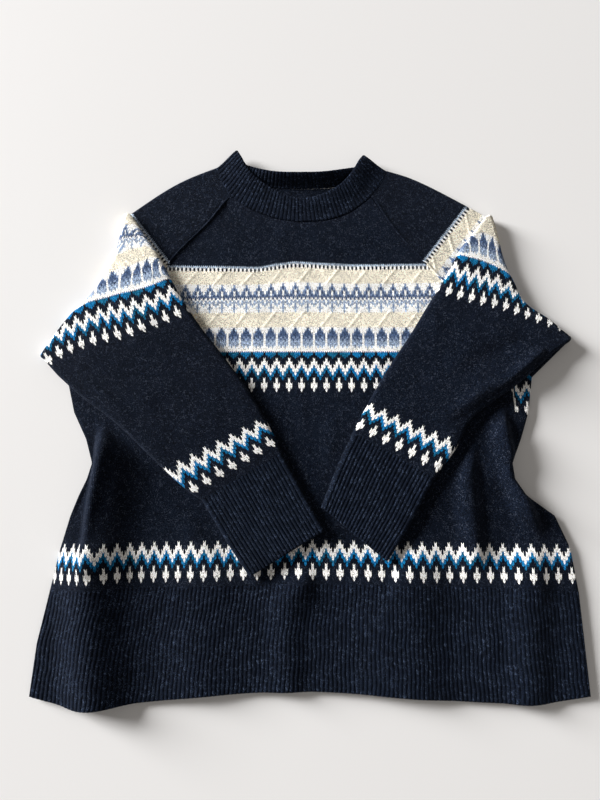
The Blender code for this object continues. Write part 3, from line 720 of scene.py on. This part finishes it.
def flat_stations(rows, at, across):
    """Stations of the part of a sleeve or cuff that lies on the front.

    A station is a ring's front and back points, its normals, half its height, the plan points that
    its stitches are read at, front and back, and whether its back is the face that shows.
    """
    stations = []
    for x0, y0, x1, y1, half in smooth(rows, at):
        a, b = np.array((x0, y0)), np.array((x1, y1))
        toward = unit(b - a)
        a, b = a + toward * half, b - toward * half
        line = a + (b - a) * across[:, None]
        z = LAYERS_TOP + GAP * 2 + half * CM
        middle = place(line, np.full(len(across), z))
        normal = np.tile((0.0, 0.0, -1.0), (len(across), 1))
        stations.append((middle, middle, normal, half * CM, line, line, True))
    return stations


def sleeve_stations(side, index, root, folded):
    """Stations from the raglan seam to where the sleeve turns over, then back across the front."""
    count = SLEEVE_COUNT
    up = np.array((0.0, 0.0, 1.0))
    even = np.linspace(0, 1, count)
    outline = smooth(side["turn"], even)
    along_turn = np.gradient(outline, axis=0)
    out = unit(np.stack([along_turn[:, 1], -along_turn[:, 0]], axis=1))
    out *= np.sign(out[count // 2, 0]) * np.sign(outline[0, 0])
    axis = outline - out * (TURN + SLEEVE_HALF) / CM
    inset = SLEEVE_HALF / CM
    near_first = ease(1 - even * NEAR_SIDE)[:, None]
    near_last = ease(1 - (1 - even) * NEAR_SIDE)[:, None]
    axis = axis + near_first * (0, -inset) + near_last * unit(axis[0] - axis[-1]) * inset
    seams = []
    for neck, raglan in ((side["neck"], RAGLAN), (side["back_neck"], BACK_RAGLAN)):
        by_neck = smooth(neck, np.linspace(0, 1, NECK_COUNT))
        body_side = [neck[-1]] + [(row[index], row[0]) for row in raglan[1:]]
        by_body = smooth(body_side, np.linspace(0, 1, count - NECK_COUNT + 1))
        points = np.concatenate([by_neck, by_body[1:]])
        points = points + near_first * (0, -inset)
        points = points + near_last * unit(points[0] - points[-1]) * inset
        seams.append(points)
    fine = np.linspace(0, 1, 100)
    shoulder = smooth(side["shoulder"], fine)
    bow = shoulder - shoulder[0] - (shoulder[-1] - shoulder[0]) * fine[:, None]
    near_top = (1 - even)[:, None] ** 2
    by_band = 1 - ease((np.arange(count) - NECK_COUNT + 3) / 3)
    stations = []
    radius = (TURN + SLEEVE_HALF) / CM
    inner_radius = (TURN - SLEEVE_HALF + WALL / 2) / CM
    for t in root:
        arch = np.array([np.interp(t, fine, c) for c in bow.T]) * near_top
        tucked = (t - NECK_TUCK * (1 - t) ** 4 * by_band)[:, None]
        lines = [s * (1 - tucked) + axis * tucked + arch for s in seams]
        layers = [place(line, np.full(count, SLEEVE_HALF)) for line in lines]
        if t == 1:
            lines = [axis + out * inner_radius * np.pi, axis + out * radius * np.pi]
        stations.append((*layers, np.tile(up, (count, 1)), SLEEVE_HALF, *lines, t == 1))
    out3 = np.concatenate([out, np.zeros((count, 1))], axis=1)
    base = place(axis, np.full(count, SLEEVE_HALF + TURN))
    for angle in np.linspace(-90, 90, TURN_STEPS + 1)[1:]:
        c, s = math.cos(math.radians(angle)), math.sin(math.radians(angle))
        arm = out3 * c + up * s
        left_to_turn = math.radians(90 - angle)
        plans = (axis + out * inner_radius * left_to_turn, axis + out * radius * left_to_turn)
        stations.append((base + arm * TURN, base + arm * TURN, -arm, SLEEVE_HALF, *plans, True))
    return stations + flat_stations(side["folded"], folded, even)


def seam_cord(near):
    """Relief of a raglan seam at distances from it: a cord that strays a little, and a groove."""
    far = np.linspace(0, 40, SLEEVE_COUNT)
    across = near / SEAM_WIDTH - 0.8 - 0.25 * np.sin(far * 0.5)
    cord = (1 + np.cos(np.pi * np.clip(across, -1, 1))) / 2 * (0.9 + 0.1 * np.sin(far * 4.3))
    return cord - 0.22 * np.exp(-(((across - 1.5) / 0.5) ** 2))


def sleeve(name, side, index, creases):
    """A sleeve as a closed wall, with creases on the face that shows."""
    root = np.concatenate([ROOT_CLOSE, np.linspace(*ROOT_EVEN)])
    stations = sleeve_stations(side, index, root, np.linspace(0, 1, FOLDED_STEPS))
    middle, plan = tube_rings(stations)
    sign = -1 if index == 1 else 1
    stitches = np.where(
        np.array([station[-1] for station in stations])[:, None, None],
        sleeve_stitches(plan, side["rows"], sign),
        yoke_stitches(plan, side["tick_row"], sign),
    )
    # the face on top once it is folded
    shown = slice(SLEEVE_COUNT + ARC_COUNT, 2 * SLEEVE_COUNT + ARC_COUNT)
    flat = len(root) + TURN_STEPS
    x, y = plan[flat:, shown, 0], plan[flat:, shown, 1]
    rise = bell_creases(x, y, creases) + waves(x, y, 0.09)
    points, rings = np.arange(SLEEVE_COUNT), np.arange(FOLDED_STEPS)
    inside = ease(np.minimum(points, points[::-1]) / 4)[None]
    start, end = ease(rings / 8)[:, None], ease(rings[::-1] / 6)[:, None]
    middle[flat:, shown, 2] += rise * inside * start * end * CM
    relief = np.zeros(middle.shape[:2])
    near = np.linalg.norm(middle - middle[:1], axis=2)[: len(root), :SLEEVE_COUNT]
    below_neck = ease((points - NECK_COUNT + 1) / 3)
    relief[: len(root), :SLEEVE_COUNT] = seam_cord(near) * below_neck * side["seam_rise"]
    flip = grid_normals(middle, True)[5, SLEEVE_COUNT // 2, 2] < 0
    return shell(name + "_knit", middle, True, stitches, relief=relief, flip=flip)


def cuff(name, side):
    """A ribbed cuff as a closed wall."""
    count = RIB_COUNTS["cuff"] * RIB_SAMPLES // 2 - ARC_COUNT
    at = fractions(CUFF_DEPTH, 0.0042, last=True)
    rows = (side["folded"][-1], *side["cuff"][1:])
    middle, _ = tube_rings(flat_stations(rows, at, np.linspace(0, 1, count)))
    total = middle.shape[1]
    turns = np.arange(total + 1) / total * RIB_COUNTS["cuff"]
    share = edge_round((1 - at)[:, None] * CUFF_DEPTH)
    relief = rib_profile(turns[None, :-1], at[:, None] * CUFF_DEPTH / CM) * RIB_DEPTH
    relief = relief * ease((0.06 + at) / 0.1)[:, None] * share
    rows = at[:, None] * RIB_ROWS["cuff"]
    stitches = np.stack(np.broadcast_arrays(turns[None] + 0.5, rows), axis=-1)
    flip = grid_normals(middle, True)[5, count + ARC_COUNT + count // 2, 2] < 0
    return shell(name + "_knit", middle, True, stitches, relief=relief, share=share, flip=flip)


def operator(operation):
    """A method of Value that adds the Math node of an operation."""
    return lambda value, *others: value.nodes.math(operation, value, *others)


class Value:
    """A number in a material. Arithmetic and comparisons on it add Math nodes."""

    __add__ = __radd__ = operator("ADD")
    __sub__ = operator("SUBTRACT")
    __mul__ = __rmul__ = operator("MULTIPLY")
    __truediv__ = operator("DIVIDE")
    __mod__ = operator("FLOORED_MODULO")
    __pow__ = operator("POWER")
    __gt__ = operator("GREATER_THAN")
    __lt__ = operator("LESS_THAN")
    __abs__ = operator("ABSOLUTE")
    __floor__ = operator("FLOOR")

    def __init__(self, nodes, socket):
        self.nodes, self.socket = nodes, socket

    def __rsub__(self, other):
        return self.nodes.math("SUBTRACT", other, self)


class Nodes:
    """Short ways to add nodes to a material."""

    def __init__(self, material):
        material.use_nodes = True
        self.tree = material.node_tree
        self.shader = self.tree.nodes["Principled BSDF"]

    def add(self, kind, **settings):
        node = self.tree.nodes.new("ShaderNode" + kind)
        for key, value in settings.items():
            setattr(node, key, value)
        return node

    def plug(self, socket, value):
        value = value.socket if isinstance(value, Value) else value
        if isinstance(value, bpy.types.NodeSocket):
            self.tree.links.new(value, socket)
        else:
            socket.default_value = value

    def math(self, operation, *values):
        node = self.add("Math", operation=operation)
        for socket, value in zip(node.inputs, values):
            self.plug(socket, value)
        return Value(self, node.outputs[0])

    def split(self, kind, whole):
        """The three numbers of a vector or a colour."""
        node = self.add("Separate" + kind)
        self.plug(node.inputs[0], whole)
        return [Value(self, socket) for socket in node.outputs]

    def join(self, kind, numbers):
        """A vector or colour from its numbers."""
        node = self.add("Combine" + kind)
        for socket, number in zip(node.inputs, numbers):
            self.plug(socket, number)
        return node.outputs[0]

    def mix(self, factor, a, b, blend="MIX"):
        node = self.add("Mix", data_type="RGBA", blend_type=blend)
        self.plug(node.inputs["Factor"], factor)
        self.plug(node.inputs[6], a)
        self.plug(node.inputs[7], b)
        return node.outputs[2]

    def noise(self, vector, scale, roughness):
        node = self.add("TexNoise")
        self.plug(node.inputs["Vector"], vector)
        for name, value in (("Scale", scale), ("Detail", 2.0), ("Roughness", roughness)):
            self.plug(node.inputs[name], value)
        return Value(self, node.outputs["Fac"])

    def steps(self, at, letters):
        """A stepped ramp through the colours that a string of letters names."""
        node = self.add("ValToRGB")
        ramp = node.color_ramp
        ramp.interpolation = "CONSTANT"
        starts = [i for i, letter in enumerate(letters) if i == 0 or letters[i - 1] != letter]
        for i in starts[1:-1]:
            ramp.elements.new(i / len(letters))
        ramp.elements[-1].position = starts[-1] / len(letters)
        for element, i in zip(ramp.elements, starts):
            element.color = linear(COLOURS[letters[i]])
        self.plug(node.inputs["Fac"], at)
        return node.outputs["Color"]


def chart_colour(nodes, distance, row, chart, first_row):
    """The colour of a stitch in a chart, with plain navy above and below it."""
    padded = ("nnnn",) + chart + ("nnnn",)
    at = (row + (1.5 - first_row)) / len(padded)
    ramps = [nodes.steps(at, "".join(line[column] for line in padded)) for column in range(4)]
    colour = ramps[0]
    for column in (1, 2, 3):
        colour = nodes.mix(distance > column - 0.5, colour, ramps[column])
    return colour


def banded_colour(nodes, wale, row, charts):
    """The colour of each stitch by the charts. Each takes over from two rows below its first."""
    distance = 3.0 - abs((wale + 0.5) % REPEAT - 3.5)
    bands = [chart_colour(nodes, distance, row, chart, first_row) for chart, first_row in charts]
    colour = bands[0]
    for band, (_, first_row) in zip(bands[1:], charts[1:]):
        colour = nodes.mix(row > first_row - 2, colour, band)
    return colour


def stitch_form(nodes, wale, row, clump, ribbed):
    """The stitches' height, distance from the middle of their wale from 0 to 1, wale and row."""
    wobble = (clump - 0.5) * 0.7
    within = nodes.math("FRACT", wale + wobble * (0.25 if ribbed else 0.5))
    off = abs(within * 2.0 - 1.0)
    slanted = row + (off - 0.5) * STITCH_SLANT + wobble * 0.5
    up = nodes.math("SINE", nodes.math("FRACT", slanted) * math.pi)
    # A rib is one round ridge to a wale, and plain knit is two legs
    leg = 1.0 - (off if ribbed else off * 2.0 - 1.0) ** 2.0
    return leg * (up * 0.65 + 0.35), off, math.floor(wale), math.floor(slanted)


def lattice(nodes, wale, row):
    """Raised travelling stitches that cross the plain cream rows on the slant, weaker one way."""
    across, down = wale * STITCH, row * (ROW * 0.85)
    lines = 0.0
    for sign, weight in ((1.0, 1.3), (-1.0, 0.5)):
        off = abs(nodes.math("FRACT", (across + down * sign) / LATTICE_SPACING) - 0.5)
        lines = lines + nodes.math("MAXIMUM", 1.0 - off / LATTICE_WIDTH, 0.0) * weight
    return lines * sum((row > low) * (row < high) for low, high in LATTICE_ROWS)


def knit(name, charts=()):
    """Fuzzy wool knit by charts, each with its first row. Cloth with no charts is navy rib."""
    material = bpy.data.materials.new(name)
    nodes = Nodes(material)
    ribbed = not charts
    wale, row, _ = nodes.split("XYZ", nodes.add("UVMap", uv_map="stitches").outputs[0])
    spot = nodes.add("TexCoord").outputs["Object"]
    fine, clump, broad = [nodes.noise(spot, *settings) for settings in NOISES]
    height, off, stitch_wale, stitch_row = stitch_form(nodes, wale, row, clump, ribbed)
    random = nodes.add("TexWhiteNoise", noise_dimensions="2D")
    nodes.plug(random.inputs["Vector"], nodes.join("XYZ", (stitch_wale, stitch_row)))
    chance = Value(nodes, random.outputs["Value"])

    # How bright each spot of the yarn is, and how high. The brightness holds painted shade in the hollows
    # between the stitches' legs and rows, and random tone to each stitch and in broad patches
    value = (height * 0.75 + 0.66) * (chance * 0.5 + 0.75)
    # The fine speckle is partly the yarn's heathered tone and partly painted shade and light of its bumpy
    # surface
    value = value * nodes.math("MAXIMUM", fine * 6.5 - 2.2, 0.15) * (broad * 0.5 + 0.75)
    relief = height * 0.55 + fine * 0.45 + clump * 0.9
    if ribbed:
        colour = linear(COLOURS["n"])
        # Painted shade darkens each rib towards its grooves
        value = value * (1.0 - off**5.0 * 0.5)
    else:
        colour = banded_colour(nodes, stitch_wale, stitch_row, charts)
        red, _, blue = nodes.split("Color", colour)
        # Painted shade: blue yarn gets broad patches of the dark teal it shows in shade
        blue_shade_patches = (blue - red * 4.0 > 0.1) * (broad * 3.2 - 1.2)
        blue_shade_patches = nodes.math("MINIMUM", nodes.math("MAXIMUM", blue_shade_patches, 0.0), 0.85)
        colour = nodes.mix(blue_shade_patches, colour, linear(BLUE_IN_SHADE))
        # Pale yarn shades itself less than dark yarn, and its ridges catch the light
        ridges = lattice(nodes, wale, row)
        value = (value - 1.0) * (1.0 - red * 0.36) + 1.0 + nodes.math("MINIMUM", ridges, 1.0) * 0.12
        relief = relief + ridges
    colour = nodes.mix(1.0, colour, nodes.join("Color", (value, value, value)), "MULTIPLY")
    fibre = linear(RIB_FIBRE) if ribbed else nodes.mix(0.5, colour, linear(CHART_FIBRE))
    colour = nodes.mix((chance * 0.25 + fine > 0.79) * 0.42, colour, fibre)

    raised = nodes.add("Bump")
    for socket, setting in (("Strength", 1.0), ("Distance", BUMP), ("Height", relief)):
        nodes.plug(raised.inputs[socket], setting)
    for socket, setting in (("Normal", raised.outputs[0]), ("Base Color", colour), *FINISH):
        nodes.plug(nodes.shader.inputs[socket], setting)
    return material


def studio():
    """A pale floor, soft light from the upper left, and a camera that looks down from just below."""
    bpy.ops.mesh.primitive_plane_add(size=8, location=(0, 0, -0.0004))
    floor = bpy.context.object
    floor.name = "floor"
    paint = bpy.data.materials.new("pale_floor")
    nodes = Nodes(paint)
    nodes.plug(nodes.shader.inputs["Base Color"], linear((0.93, 0.92, 0.91)))
    nodes.plug(nodes.shader.inputs["Roughness"], 0.7)
    nodes.plug(nodes.shader.inputs["Specular IOR Level"], 0.2)
    floor.data.materials.append(paint)
    world = bpy.data.worlds.new("studio")
    world.use_nodes = True
    background = world.node_tree.nodes["Background"]
    background.inputs["Color"].default_value = (1.0, 0.965, 0.93, 1)
    background.inputs["Strength"].default_value = 0.185
    bpy.context.scene.world = world
    for name, (x, y, z), size, power, colour in LAMPS:
        lamp = bpy.data.lights.new(name, "AREA")
        lamp.size, lamp.energy, lamp.color = size, power, colour
        ob = bpy.data.objects.new(name, lamp)
        ob.location = (x, y, z)
        ob.rotation_euler = (math.acos(z / math.hypot(x, y, z)), 0, math.atan2(y, x) + math.pi / 2)
        bpy.context.scene.collection.objects.link(ob)
    lens = bpy.data.cameras.new("camera")
    lens.lens, lens.sensor_width = 27, 36
    camera = bpy.data.objects.new("camera", lens)
    tilt, height = math.radians(CAMERA_TILT), CAMERA_HEIGHT
    camera.location = (CAMERA_AIM[0], CAMERA_AIM[1] - height * math.tan(tilt), height)
    camera.rotation_euler = (tilt, 0, 0)
    bpy.context.scene.collection.objects.link(camera)
    bpy.context.scene.camera = camera
    bpy.context.scene.view_settings.view_transform = "Standard"


def main():
    pieces = {**panels(), **hem_ribs(), **neckband()}
    for name, side, index, creases in (("left", LEFT, 1, LEFT_CREASES), ("right", RIGHT, 2, RIGHT_CREASES)):
        pieces[name + "_sleeve"] = sleeve(name + "_sleeve", side, index, creases)
        pieces[name + "_cuff"] = cuff(name + "_cuff", side)
    charted = knit("fair_isle_knit", ((CHEST, 0), (ZIGZAG, HEM_ROW)))
    ribbed = knit("ribbed_knit")
    for node, piece in pieces.items():
        ribs = node.endswith(("rib", "cuff", "band"))
        piece.data.materials.append(ribbed if ribs else charted)
        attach(piece, "root")
        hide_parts(node)
    studio()


main()
